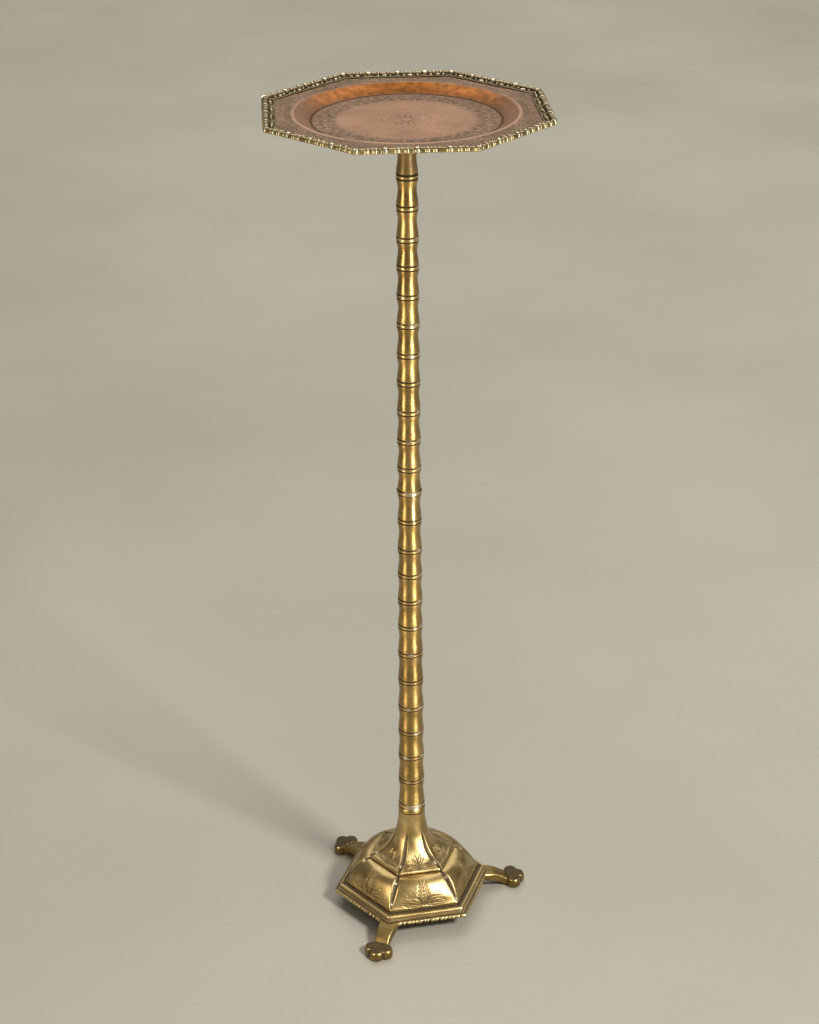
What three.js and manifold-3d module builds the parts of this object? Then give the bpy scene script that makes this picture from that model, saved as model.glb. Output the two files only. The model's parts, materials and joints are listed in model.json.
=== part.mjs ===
// A brass pedestal tray stand: an octagonal copper tray with a cast brass border, on a slender
// stem of bamboo-like spools, over a six-lobed bell, a stepped hexagonal plinth and three legs.
// Millimetres, +Z up. The origin is on the floor, on the stem's axis. One leg points to -Y.

import * as THREE from "three";
import { mergeVertices } from "three/addons/utils/BufferGeometryUtils.js";
import Module from "manifold-3d";

const wasm = await Module();
wasm.setup();

// ---- driving dimensions ----

const HEIGHT = 914; // floor to the top of the tray's border, 36 inches
const GAP = 0.3; // clearance between two pieces that touch

const TRAY_SIDES = 8;
const TRAY_CORNER_RADIUS = 149; // axis to an outer corner of the border
const BORDER_WIDTH = 13;
const BORDER_HEIGHT = 5.4; // from the lip that covers the pan's edge to the crest
const BORDER_STAND = 4.4; // the crest above the flange
const PAN_SHEET = 1.2;
const WELL_RIM_RADIUS = 107.5;
const WELL_FLOOR_RADIUS = 92;
const WELL_DEPTH = 8;

const STEM_BOTTOM = 123; // underside of the lowest spool
const SPOOL_LENGTHS = [
  34, 31, 31, 31, 33, 34, 33, 31, 31, 29, 34, 33, // lower half of the stem, from the bell up
  27, 31, 32, 32, 30, 32, 30, 30, 29, 32, 31, 31, // upper half, to the boss under the tray
];
const RING_RADIUS_BOTTOM = 14.4; // the stem tapers from here
const RING_RADIUS_TOP = 10.7; // to here
const WAIST_DEPTH_BOTTOM = 1.3; // how far a spool's waist draws in from its ring
const WAIST_DEPTH_TOP = 1.8;
const BAND_HEIGHT = 3.4; // the raised band at the foot of each spool
const MIDDLE_SPOOL = 12; // its band covers the joint of the two halves, and stands out
const MIDDLE_BAND_STAND = 0.6;
const SPOOL_WALL = 2.4; // at the waist, its thinnest
const ROD_RADIUS = 4;

const BELL_SIDES = 6;
const BELL_TOP = 116.5;
const BELL_RIM_RADIUS = 76; // to a corner of the lower rim
const BELL_RIM_Z = 28.9;
const PETAL_RADIUS = 49.1; // to a corner of the upper tier's lip
const PETAL_Z = 59.3;
const BELL_NECK_RADIUS = 14.6;
const BELL_WALL = 2.2;
const BELL_CROWN = 4.5; // thickness of the bell's top, which the rod pulls down on

const PLINTH_TOP = 26.5;
const PLINTH_BOTTOM = 16;
const PLINTH_RADIUS = 89.8; // to a corner of the lowest, scalloped edge
const PLINTH_OPENING = 58;
const PLINTH_PLATE = 3;

const LEG_COUNT = 3;
const LEG_WIDTH_ROOT = 21;
const LEG_WIDTH_ANKLE = 15.6;
const PAD_RADIUS = 120.5; // axis to the middle of the pad
const PAD_HEIGHT = 10.8;
const TOE_RADIUS = 7.8;

const ROUND = 16; // facets around the stem
const FINE = 48; // facets around the tray's well and the bell

// ---- materials ----

const brass = new THREE.MeshStandardMaterial({ color: 0xa8843e, metalness: 1, roughness: 0.35 });
const darkBrass = new THREE.MeshStandardMaterial({ color: 0x7d6436, metalness: 1, roughness: 0.5 });
const copper = new THREE.MeshStandardMaterial({ color: 0xb5764f, metalness: 1, roughness: 0.4 });
const steel = new THREE.MeshStandardMaterial({ color: 0x8a8d90, metalness: 1, roughness: 0.45 });

// ---- helpers ----

const table = new THREE.Group();

function add(name, geometry, material) {
  const mesh = new THREE.Mesh(geometry, material);
  mesh.name = name;
  table.add(mesh);
  return mesh;
}

// A closed mesh as a manifold-3d solid.
function solid(geometry) {
  const bare = geometry.clone();
  bare.deleteAttribute("normal");
  bare.deleteAttribute("uv");
  const merged = mergeVertices(bare, 1e-4);
  return new wasm.Manifold(
    new wasm.Mesh({
      numProp: 3,
      vertProperties: new Float32Array(merged.attributes.position.array),
      triVerts: new Uint32Array(merged.index.array),
    }),
  );
}

function geometryOf(body) {
  const { vertProperties, triVerts } = body.getMesh();
  const geometry = new THREE.BufferGeometry();
  geometry.setAttribute("position", new THREE.BufferAttribute(vertProperties, 3));
  geometry.setIndex(new THREE.BufferAttribute(triVerts, 1));
  geometry.computeVertexNormals();
  return geometry;
}

// Turns [radius, height] points about the Z axis; the first facet edge lies towards -Y.
function turned(points, facets) {
  const profile = points.map(([radius, height]) => new THREE.Vector2(radius, height));
  return new THREE.LatheGeometry(profile, facets).rotateX(Math.PI / 2);
}

// A ring's profile comes back to its first point.
function turnedRing(points, facets) {
  return turned([...points, points[0]], facets);
}

// Extrudes an outline of [x, y] points from height bottom to height top.
function prism(points, bottom, top) {
  const outline = new THREE.Shape(points.map(([x, y]) => new THREE.Vector2(x, y)));
  const geometry = new THREE.ExtrudeGeometry(outline, { depth: top - bottom, bevelEnabled: false });
  return geometry.translate(0, 0, bottom);
}

function pin(radius, bottom, top, x, y, facets = 12) {
  const geometry = new THREE.CylinderGeometry(radius, radius, top - bottom, facets);
  return geometry.rotateX(Math.PI / 2).translate(x, y, (top + bottom) / 2);
}

function regularPolygon(sides, cornerRadius) {
  return Array.from({ length: sides }, (_, i) => {
    const angle = -Math.PI / 2 + (i * 2 * Math.PI) / sides;
    return [cornerRadius * Math.cos(angle), cornerRadius * Math.sin(angle)];
  });
}

const lerp = THREE.MathUtils.lerp;
const number = (index) => String(index + 1).padStart(2, "0");

// ---- tray: copper pan, eight mitred strips of border, boss ----

const FLANGE_TOP = HEIGHT - BORDER_STAND;
const WELL_FLOOR = FLANGE_TOP - WELL_DEPTH;
const PAN_UNDERSIDE = WELL_FLOOR - PAN_SHEET;
const cornerToFlat = Math.cos(Math.PI / TRAY_SIDES);
const BORDER_FLAT = TRAY_CORNER_RADIUS * cornerToFlat;
const LIP = 1.5; // thickness of the border's lip outside the pan's edge

function trayPan() {
  const outline = regularPolygon(TRAY_SIDES, (BORDER_FLAT - LIP - GAP) / cornerToFlat);
  const flange = solid(prism(outline, FLANGE_TOP - PAN_SHEET, FLANGE_TOP));
  const hole = solid(pin(WELL_RIM_RADIUS + 1, FLANGE_TOP - 5, FLANGE_TOP + 5, 0, 0, FINE));
  const well = solid(
    turned(
      [
        [0, PAN_UNDERSIDE],
        [WELL_FLOOR_RADIUS + 0.6, PAN_UNDERSIDE],
        [WELL_RIM_RADIUS + 2, FLANGE_TOP - PAN_SHEET],
        [WELL_RIM_RADIUS + 2, FLANGE_TOP],
        [WELL_RIM_RADIUS, FLANGE_TOP],
        [WELL_FLOOR_RADIUS, WELL_FLOOR],
        [0, WELL_FLOOR],
      ],
      FINE,
    ),
  );
  return geometryOf(flange.subtract(hole).add(well));
}

// One side of the border: its section drawn out along the side and mitred at both corners.
function borderStrip() {
  const inner = BORDER_FLAT - BORDER_WIDTH;
  const seat = FLANGE_TOP + GAP;
  const foot = HEIGHT - BORDER_HEIGHT;
  const section = [
    [BORDER_FLAT - LIP, seat],
    [BORDER_FLAT - LIP, foot],
    [BORDER_FLAT, foot],
    [BORDER_FLAT, foot + 3.5],
    [BORDER_FLAT - 1.2, HEIGHT - 0.6],
    [BORDER_FLAT - 3.6, HEIGHT],
    [BORDER_FLAT - 7, HEIGHT - 0.4],
    [inner + 1.5, HEIGHT - 1.8],
    [inner, seat],
  ];
  const length = 2 * TRAY_CORNER_RADIUS;
  const bar = prism(section, -length / 2, length / 2);
  // The section's height becomes Z, and the strip's length becomes Y.
  bar.rotateX(Math.PI / 2);
  const reach = 2 * TRAY_CORNER_RADIUS;
  const halfSpread = reach * Math.tan(Math.PI / TRAY_SIDES);
  const mitre = [
    [GAP, 0],
    [reach + GAP, -halfSpread],
    [reach + GAP, halfSpread],
  ];
  const sector = solid(prism(mitre, 0, 2 * HEIGHT));
  return geometryOf(solid(bar).intersect(sector));
}

// Seats the stem and takes the rod's thread.
function trayBoss(bottom) {
  const top = PAN_UNDERSIDE - GAP;
  return turnedRing(
    [
      [ROD_RADIUS + GAP, bottom],
      [12, bottom],
      [12.4, bottom + 3],
      [10, bottom + 7],
      [12, bottom + 14],
      [32, top - 2.5],
      [32, top],
      [ROD_RADIUS + GAP, top],
    ],
    24,
  );
}

// ---- stem: stacked spools on a steel rod ----

const STEM_TOP = STEM_BOTTOM + SPOOL_LENGTHS.reduce((sum, length) => sum + length, 0);

function along(height) {
  return (height - STEM_BOTTOM) / (STEM_TOP - STEM_BOTTOM);
}

function ringRadius(height) {
  return lerp(RING_RADIUS_BOTTOM, RING_RADIUS_TOP, along(height));
}

// A spool keeps its width for a quarter of its length, draws in to a waist above its middle
// and flares quickly to the ring above.
function spool(bottom, length, bandStand) {
  const low = bottom + GAP / 2;
  const high = bottom + length - GAP / 2;
  const waist = lerp(WAIST_DEPTH_BOTTOM, WAIST_DEPTH_TOP, along(bottom));
  const at = (share, draw) => {
    const height = lerp(low, high, share);
    return [ringRadius(height) - draw * waist, height];
  };
  const band = ringRadius(low) + bandStand;
  const bore = at(0.6, 1)[0] - SPOOL_WALL;
  return turnedRing(
    [
      [bore, low],
      [band, low],
      [band, low + BAND_HEIGHT],
      at(0.32, 0.25),
      at(0.6, 1),
      at(0.84, 0.15),
      at(1, 0.1),
      [bore, high],
    ],
    ROUND,
  );
}

function neckCollar() {
  const low = BELL_TOP + GAP;
  const high = STEM_BOTTOM - GAP / 2;
  return turnedRing(
    [
      [ROD_RADIUS + GAP, low],
      [RING_RADIUS_BOTTOM - 1, low],
      [RING_RADIUS_BOTTOM + 0.4, low + 1.2],
      [RING_RADIUS_BOTTOM + 0.4, high - 1],
      [RING_RADIUS_BOTTOM - 0.4, high],
      [ROD_RADIUS + GAP, high],
    ],
    ROUND,
  );
}

// ---- bell: round at the neck, six-sided at the lip and the rim ----

// The share of a six-sided outline's corner radius at an angle measured from a corner.
function sixSided(angle) {
  const side = (2 * Math.PI) / BELL_SIDES;
  const fromMiddle = (((angle % side) + side) % side) - side / 2;
  return Math.cos(side / 2) / Math.cos(fromMiddle);
}

// Each point is [corner radius, height, how six-sided the outline is, from 0 to 1].
const bellOutside = [
  [BELL_NECK_RADIUS, BELL_TOP, 0],
  [15.4, 104, 0],
  [18.1, 90.4, 0.1],
  [23.2, 78.1, 0.35],
  [29.2, 70.4, 0.6],
  [36.5, 65.1, 0.85],
  [PETAL_RADIUS, PETAL_Z, 1],
  [PETAL_RADIUS - 2, PETAL_Z - 2.3, 1],
  [52.5, 56, 0.25],
  [59, 51.8, 0.12],
  [66, 45.5, 0.35],
  [72.3, 37.5, 0.7],
  [BELL_RIM_RADIUS, BELL_RIM_Z, 1],
  [BELL_RIM_RADIUS, PLINTH_TOP + GAP, 1],
];
const bellInside = [
  [BELL_RIM_RADIUS - BELL_WALL, PLINTH_TOP + GAP, 1],
  [72.3 - BELL_WALL, 36.5, 0.7],
  [66 - BELL_WALL, 44, 0.35],
  [59 - BELL_WALL, 49.6, 0.12],
  [46, 53.6, 0.6],
  [35, 61, 0.85],
  [24.5, 70.5, 0.5],
  [16, 88.5, 0.05],
  [12.8, BELL_TOP - BELL_CROWN, 0],
  [ROD_RADIUS + GAP, BELL_TOP - BELL_CROWN, 0],
  [ROD_RADIUS + GAP, BELL_TOP, 0],
];

function bell() {
  const points = [...bellOutside, ...bellInside];
  points.reverse();
  const sixSidedness = new Map(points.map(([, height, share], i) => [i, share]));
  const rows = points.length + 1;
  const geometry = turnedRing(points.map(([radius, height]) => [radius, height]), FINE);
  const position = geometry.attributes.position;
  for (let i = 0; i < position.count; i++) {
    const share = sixSidedness.get((i % rows) % points.length);
    const x = position.getX(i);
    const y = position.getY(i);
    const angle = Math.atan2(y, x) + Math.PI / 2;
    const scale = lerp(1, sixSided(angle), share);
    position.setXYZ(i, x * scale, y * scale, position.getZ(i));
  }
  return geometry;
}

// ---- plinth: a stepped six-sided moulding, hollow below, notched for the legs ----

const SCREW_RADIUS = 2;
const SCREW_PLACES = [60.5, 68.5]; // from the axis, along each leg
const NOTCH_START = 71;
const NOTCH_TOP = 20.5;

function plinth() {
  const plateUnderside = PLINTH_TOP - PLINTH_PLATE;
  const moulding = solid(
    turnedRing(
      [
        [PLINTH_OPENING, plateUnderside],
        [80, plateUnderside],
        [81.5, PLINTH_BOTTOM],
        [PLINTH_RADIUS - 1.2, PLINTH_BOTTOM],
        [PLINTH_RADIUS, PLINTH_BOTTOM + 1.3],
        [PLINTH_RADIUS, PLINTH_BOTTOM + 3],
        [PLINTH_RADIUS - 1.9, PLINTH_BOTTOM + 4.2],
        [PLINTH_RADIUS - 5, PLINTH_BOTTOM + 4.9],
        [83.3, PLINTH_BOTTOM + 6.4],
        [83.8, PLINTH_TOP - 1.5],
        [82.6, PLINTH_TOP],
        [PLINTH_OPENING, PLINTH_TOP],
      ],
      BELL_SIDES,
    ),
  );
  let body = moulding;
  for (let leg = 0; leg < LEG_COUNT; leg++) {
    const turn = (leg * 2 * Math.PI) / LEG_COUNT;
    const half = LEG_WIDTH_ROOT / 2 + GAP;
    const notch = prism(
      [
        [-half, -PLINTH_RADIUS - 5],
        [half, -PLINTH_RADIUS - 5],
        [half, -NOTCH_START],
        [-half, -NOTCH_START],
      ],
      PLINTH_BOTTOM - 5,
      NOTCH_TOP,
    );
    body = body.subtract(solid(notch.rotateZ(turn)));
    for (const place of SCREW_PLACES) {
      const hole = pin(SCREW_RADIUS + GAP, plateUnderside - 1, PLINTH_TOP + 1, 0, -place);
      body = body.subtract(solid(hole.rotateZ(turn)));
    }
  }
  return geometryOf(body);
}

// ---- legs: a root under the plinth, an arm that slopes down, a pad of three toes ----

const TAB_BOTTOM = 16.5;
const TAB_TOP = PLINTH_TOP - PLINTH_PLATE - GAP;

// The leg is drawn with its length along +X and turned to its place later.
function leg() {
  const arm = solid(
    prism(
      [
        [NOTCH_START + GAP, TAB_BOTTOM],
        [84, 11.5],
        [100, 5.5],
        [108, 0],
        [115, 0],
        [115, PAD_HEIGHT - 0.8],
        [110.5, PAD_HEIGHT - 1.2],
        [106, 12.6],
        [100, 16.6],
        [93, 19.2],
        [85, NOTCH_TOP - GAP],
        [NOTCH_START + GAP, NOTCH_TOP - GAP],
      ],
      -LEG_WIDTH_ROOT,
      LEG_WIDTH_ROOT,
    ).rotateX(Math.PI / 2),
  );
  const plan = solid(
    prism(
      [
        [60, -LEG_WIDTH_ROOT / 2],
        [90, -LEG_WIDTH_ROOT / 2],
        [98, -LEG_WIDTH_ANKLE / 2 - 1],
        [107, -LEG_WIDTH_ANKLE / 2],
        [118, -LEG_WIDTH_ANKLE / 2],
        [118, LEG_WIDTH_ANKLE / 2],
        [107, LEG_WIDTH_ANKLE / 2],
        [98, LEG_WIDTH_ANKLE / 2 + 1],
        [90, LEG_WIDTH_ROOT / 2],
        [60, LEG_WIDTH_ROOT / 2],
      ],
      -5,
      40,
    ),
  );
  const tab = prism(
    [
      [56, -8],
      [74, -8],
      [74, 8],
      [56, 8],
    ],
    TAB_BOTTOM,
    TAB_TOP,
  );
  const toes = [
    [PAD_RADIUS + 2.8, 0],
    [PAD_RADIUS - 3.5, 8],
    [PAD_RADIUS - 3.5, -8],
  ];
  let body = arm.intersect(plan).add(solid(tab));
  for (const [x, y] of toes) {
    const toe = turned(
      [
        [0, 0],
        [TOE_RADIUS - 1.2, 0],
        [TOE_RADIUS, 2.5],
        [TOE_RADIUS, PAD_HEIGHT - 2.5],
        [TOE_RADIUS - 1, PAD_HEIGHT],
        [0, PAD_HEIGHT],
      ],
      16,
    );
    body = body.add(solid(toe.translate(x, y, 0)));
  }
  for (const place of SCREW_PLACES) {
    body = body.subtract(solid(pin(SCREW_RADIUS + GAP, TAB_BOTTOM - 2, TAB_TOP + 2, place, 0)));
  }
  return geometryOf(body);
}

function legScrew() {
  const seat = TAB_BOTTOM - GAP;
  return turned(
    [
      [0, seat - 2.2],
      [2.2, seat - 1.8],
      [3.6, seat - 0.6],
      [3.6, seat],
      [SCREW_RADIUS, seat],
      [SCREW_RADIUS, PLINTH_TOP - GAP],
      [0, PLINTH_TOP - GAP],
    ],
    12,
  );
}

// ---- rod, washer and nut inside the bell ----

const WASHER_TOP = BELL_TOP - BELL_CROWN - GAP;
const WASHER = 2.4;
const NUT = 6.5;
const NUT_CORNER_RADIUS = 7.5;
const ROD_TOP = PAN_UNDERSIDE - 2;

function rod() {
  const bottom = WASHER_TOP - WASHER - GAP - NUT - 4;
  return pin(ROD_RADIUS, bottom, ROD_TOP, 0, 0);
}

function washer() {
  const bottom = WASHER_TOP - WASHER;
  const bore = ROD_RADIUS + GAP;
  return turnedRing(
    [
      [bore, bottom],
      [11, bottom],
      [11, WASHER_TOP],
      [bore, WASHER_TOP],
    ],
    24,
  );
}

function nut() {
  const top = WASHER_TOP - WASHER - GAP;
  const block = solid(prism(regularPolygon(6, NUT_CORNER_RADIUS), top - NUT, top));
  return geometryOf(block.subtract(solid(pin(ROD_RADIUS + GAP, top - NUT - 1, top + 1, 0, 0))));
}

// ---- assembly ----

add("tray_pan", trayPan(), copper);
for (let side = 0; side < TRAY_SIDES; side++) {
  const strip = add(`border_strip_${number(side)}`, borderStrip(), brass);
  strip.rotation.z = ((side + 0.5) * 2 * Math.PI) / TRAY_SIDES;
}
add("tray_boss", trayBoss(STEM_TOP + GAP), darkBrass);

let foot = STEM_BOTTOM;
SPOOL_LENGTHS.forEach((length, i) => {
  const bandStand = i === MIDDLE_SPOOL ? MIDDLE_BAND_STAND : 0;
  add(`spool_${number(i)}`, spool(foot, length, bandStand), brass);
  foot += length;
});
add("neck_collar", neckCollar(), brass);
add("tie_rod", rod(), steel);
add("rod_washer", washer(), steel);
add("rod_nut", nut(), steel);

add("bell", bell(), brass);
add("plinth", plinth(), brass);
for (let i = 0; i < LEG_COUNT; i++) {
  const side = new THREE.Group();
  side.rotation.z = (i * 2 * Math.PI) / LEG_COUNT - Math.PI / 2;
  table.add(side);
  const limb = add(`leg_${i + 1}`, leg(), brass);
  side.add(limb);
  SCREW_PLACES.forEach((place, j) => {
    const screw = add(`leg_screw_${i + 1}${"ab"[j]}`, legScrew(), darkBrass);
    screw.position.x = place;
    side.add(screw);
  });
}

export default table;
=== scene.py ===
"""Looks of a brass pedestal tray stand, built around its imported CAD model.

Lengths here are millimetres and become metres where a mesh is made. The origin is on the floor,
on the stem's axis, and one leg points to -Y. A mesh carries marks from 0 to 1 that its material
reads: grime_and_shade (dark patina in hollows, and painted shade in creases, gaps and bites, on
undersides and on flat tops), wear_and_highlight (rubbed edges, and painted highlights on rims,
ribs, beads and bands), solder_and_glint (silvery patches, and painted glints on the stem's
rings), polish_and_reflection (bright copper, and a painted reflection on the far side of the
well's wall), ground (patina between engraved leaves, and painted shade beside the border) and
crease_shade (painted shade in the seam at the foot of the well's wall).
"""

import json
import math

import bmesh
import bpy
import numpy as np
from mathutils import Matrix, Vector
from mathutils.kdtree import KDTree

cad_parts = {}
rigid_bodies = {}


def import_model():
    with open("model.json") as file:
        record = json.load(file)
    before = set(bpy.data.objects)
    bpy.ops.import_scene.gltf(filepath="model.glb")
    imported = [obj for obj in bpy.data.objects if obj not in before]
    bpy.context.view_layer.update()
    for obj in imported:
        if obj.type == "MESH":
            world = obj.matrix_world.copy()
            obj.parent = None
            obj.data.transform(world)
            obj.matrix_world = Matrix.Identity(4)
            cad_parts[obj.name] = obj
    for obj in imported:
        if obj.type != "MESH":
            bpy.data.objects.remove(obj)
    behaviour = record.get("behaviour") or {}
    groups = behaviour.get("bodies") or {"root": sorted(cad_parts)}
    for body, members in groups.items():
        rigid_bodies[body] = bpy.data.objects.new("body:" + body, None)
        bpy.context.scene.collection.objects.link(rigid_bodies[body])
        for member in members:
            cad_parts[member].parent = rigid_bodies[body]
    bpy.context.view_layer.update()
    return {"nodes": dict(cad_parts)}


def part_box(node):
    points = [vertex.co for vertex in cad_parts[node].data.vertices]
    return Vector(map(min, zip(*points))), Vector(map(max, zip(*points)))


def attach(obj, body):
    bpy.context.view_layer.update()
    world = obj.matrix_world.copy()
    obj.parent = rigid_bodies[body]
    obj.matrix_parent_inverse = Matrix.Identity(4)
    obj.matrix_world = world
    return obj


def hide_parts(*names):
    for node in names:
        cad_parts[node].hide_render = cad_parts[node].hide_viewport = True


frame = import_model()
scene = bpy.context.scene

MM = 0.001
TURN = 2 * math.pi

# ---- the photograph's camera, in the table's own frame ----

VIEW_FROM = math.radians(288.5)  # the camera's direction from the stem
CAMERA_DISTANCE = 1966.8  # along the floor
CAMERA_HEIGHT = 1452.1
CAMERA_PITCH = math.radians(-26.19)
CAMERA_ROLL = math.radians(0.42)
CAMERA_LENS = 74.14  # on a long side of 36

# ---- sizes that the CAD model shares ----


def box(node):
    """A CAD node's lowest and highest corner in millimetres."""
    low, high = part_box(node)
    return np.array(low) / MM, np.array(high) / MM


def span(node):
    """A CAD node's lowest and highest z in millimetres."""
    low, high = box(node)
    return low[2], high[2]


SPOOLS = [f"spool_{i:02d}" for i in range(1, 25)]
MIDDLE_SPOOL = "spool_13"
SEAMED_SPOOL = "spool_12"
TRAY_TOP = span("border_strip_01")[1]
PAN_LOW, PAN_HIGH = span("tray_pan")
SHEET = 1.2
WELL_FLOOR_RADIUS = 92
ROD_HOLE = 4.3
BORDER_CORNER = 149
BORDER_FLAT = BORDER_CORNER * math.cos(math.pi / 8)
BORDER_WIDTH = 13
BELL_LOW, BELL_HIGH = span("bell")
LEG_ANGLES = [math.radians(a) for a in (-90, 30, 150)]

# Every random value comes from this one seeded series.
uniform = np.random.default_rng(24).uniform


# ---- meshes ----


def add_object(name, data):
    thing = bpy.data.objects.new(name, data)
    scene.collection.objects.link(thing)
    return thing


def finish_mesh(name, points, faces, marks, sharp_degrees):
    """One mesh, smooth up to an angle, with its marks kept from 0 to 1 and its faces pointing out."""
    mesh = bpy.data.meshes.new(name)
    mesh.from_pydata((points.reshape(-1, 3) * MM).tolist(), [], faces)
    for mark, values in marks.items():
        layer = mesh.attributes.new(mark, "FLOAT", "POINT")
        values = np.clip(np.broadcast_to(values, points.shape[:-1]), 0, 1)
        layer.data.foreach_set("value", values.astype(np.float32).ravel())
    shape = bmesh.new()
    shape.from_mesh(mesh)
    bmesh.ops.remove_doubles(shape, verts=shape.verts, dist=0.002 * MM)
    bmesh.ops.recalc_face_normals(shape, faces=shape.faces)
    shape.to_mesh(mesh)
    shape.free()
    mesh.shade_smooth()
    mesh.set_sharp_from_angle(angle=math.radians(sharp_degrees))
    return add_object(name, mesh)


def grid_faces(rows, columns, closed_section=False, ring=True):
    """Quads between rows of points. The last row may join the first, and each row may be a ring."""
    index = np.arange(rows * columns).reshape(rows, columns)
    if closed_section:
        index = np.vstack([index, index[:1]])
    if ring:
        index = np.hstack([index, index[:, :1]])
    quads = np.stack([index[:-1, :-1], index[:-1, 1:], index[1:, 1:], index[1:, :-1]], -1)
    return quads.reshape(-1, 4).tolist()


def grid_mesh(name, grid, marks, closed_section=True, ring=True, sharp_degrees=50):
    """A mesh of a grid of points. Rows follow the section, and columns go round or along the piece."""
    rows, columns = grid.shape[:2]
    faces = grid_faces(rows, columns, closed_section, ring)
    if not ring:
        faces += [list(range(end, rows * columns, columns)) for end in (0, columns - 1)]
    return finish_mesh(name, grid, faces, marks, sharp_degrees)


def place(piece, slot, material, *nodes):
    """Puts a finished piece on the stand in place of its CAD nodes."""
    piece.data.materials.append(material)
    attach(piece, "root")
    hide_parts(*nodes)


def spline(points, step):
    """Points about one step apart on a smooth curve through the given ones."""
    points = np.array(points, float)
    padded = np.vstack([2 * points[0] - points[1], points, 2 * points[-1] - points[-2]])
    out = []
    for a, b, c, d in zip(padded, padded[1:], padded[2:], padded[3:]):
        count = max(1, round(float(np.linalg.norm((c - b)[:2])) / step))
        t = (np.arange(count) / count)[:, None]
        cubic = (3 * b - a - 3 * c + d) * t**3
        out.append(0.5 * (2 * b + (c - a) * t + (2 * a - 5 * b + 4 * c - d) * t**2 + cubic))
    return np.vstack([*out, points[-1:]])


def sunk(grid, depth):
    """Moves the points of a ring grid in along the surface's normal; rows run down and outwards."""
    across = np.roll(grid, -1, 1) - np.roll(grid, 1, 1)
    down = np.gradient(grid, axis=0)
    normal = np.cross(down, across)
    normal /= np.linalg.norm(normal, axis=2, keepdims=True) + 1e-9
    return grid - normal * depth[..., None]


def soft(x, length=1.0):
    """A smooth step from 0 at 0 to 1 at the length."""
    x = np.clip(x / length, 0, 1)
    return x * x * (3 - 2 * x)


def hump(x, width):
    """1 at 0, falling smoothly to 0 at a distance of width."""
    return soft(1 - np.abs(x) / width)


def nearest_turn(angle, offset, step=TURN):
    """The signed angle from the nearest of the directions offset + n * step."""
    return (angle - offset + step / 2) % step - step / 2


def all_round(count):
    return np.linspace(0, TURN, count, endpoint=False)


def polar(radius, angle, height):
    return np.stack(np.broadcast_arrays(radius * np.cos(angle), radius * np.sin(angle), height), -1)


# ---- engraving ----


def stroke(start, end, bow=0.0, width=1.0):
    """One cut of the graver as rows of x, y and half width; bow is its sag over its length."""
    start, end = np.array(start, float), np.array(end, float)
    along = end - start
    count = max(6, int(np.linalg.norm(along) / 0.35))
    t = np.linspace(0, 1, count)[:, None]
    side = np.array([-along[1], along[0]])
    path = start + along * t + side * bow * 4 * t * (1 - t)
    half = width / 2 * (0.35 + 0.65 * np.sin(math.pi * t))
    return np.hstack([path, half])


def both_sides(cuts):
    """The cuts and their mirror images in the line x = 0."""
    return [*cuts, *(cut * (-1, 1, 1) for cut in cuts)]


def ringed(count, *parts):
    """Even copies round a circle. A part is cuts with x along the circle, its radius and a shift."""
    out = []
    for i in range(count):
        for cuts, radius, shift in parts:
            for cut in cuts:
                turn = (i + shift) * TURN / count + cut[:, 0] / radius
                reach = radius + cut[:, 1]
                out.append(np.column_stack([reach * np.cos(turn), reach * np.sin(turn), cut[:, 2]]))
    return out


def circle_cut(radius, width):
    turn = np.linspace(0, TURN, int(TURN * radius / 0.4))
    half = np.full_like(turn, width / 2)
    return np.column_stack([radius * np.cos(turn), radius * np.sin(turn), half])


def depth_in(cuts, x, y):
    """How far each point lies in the nearest cut, from 0 at its edge to 1 at its middle."""
    cuts = np.vstack(cuts)
    tree = KDTree(len(cuts))
    for i, (cut_x, cut_y, _) in enumerate(cuts):
        tree.insert((cut_x, cut_y, 0), i)
    tree.balance()
    share = np.zeros(x.size)
    for i, (point_x, point_y) in enumerate(zip(x.flat, y.flat)):
        _, nearest, distance = tree.find((point_x, point_y, 0))
        share[i] = max(0.0, 1 - distance / cuts[nearest, 2])
    return share.reshape(x.shape)


# ---- materials ----


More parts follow.
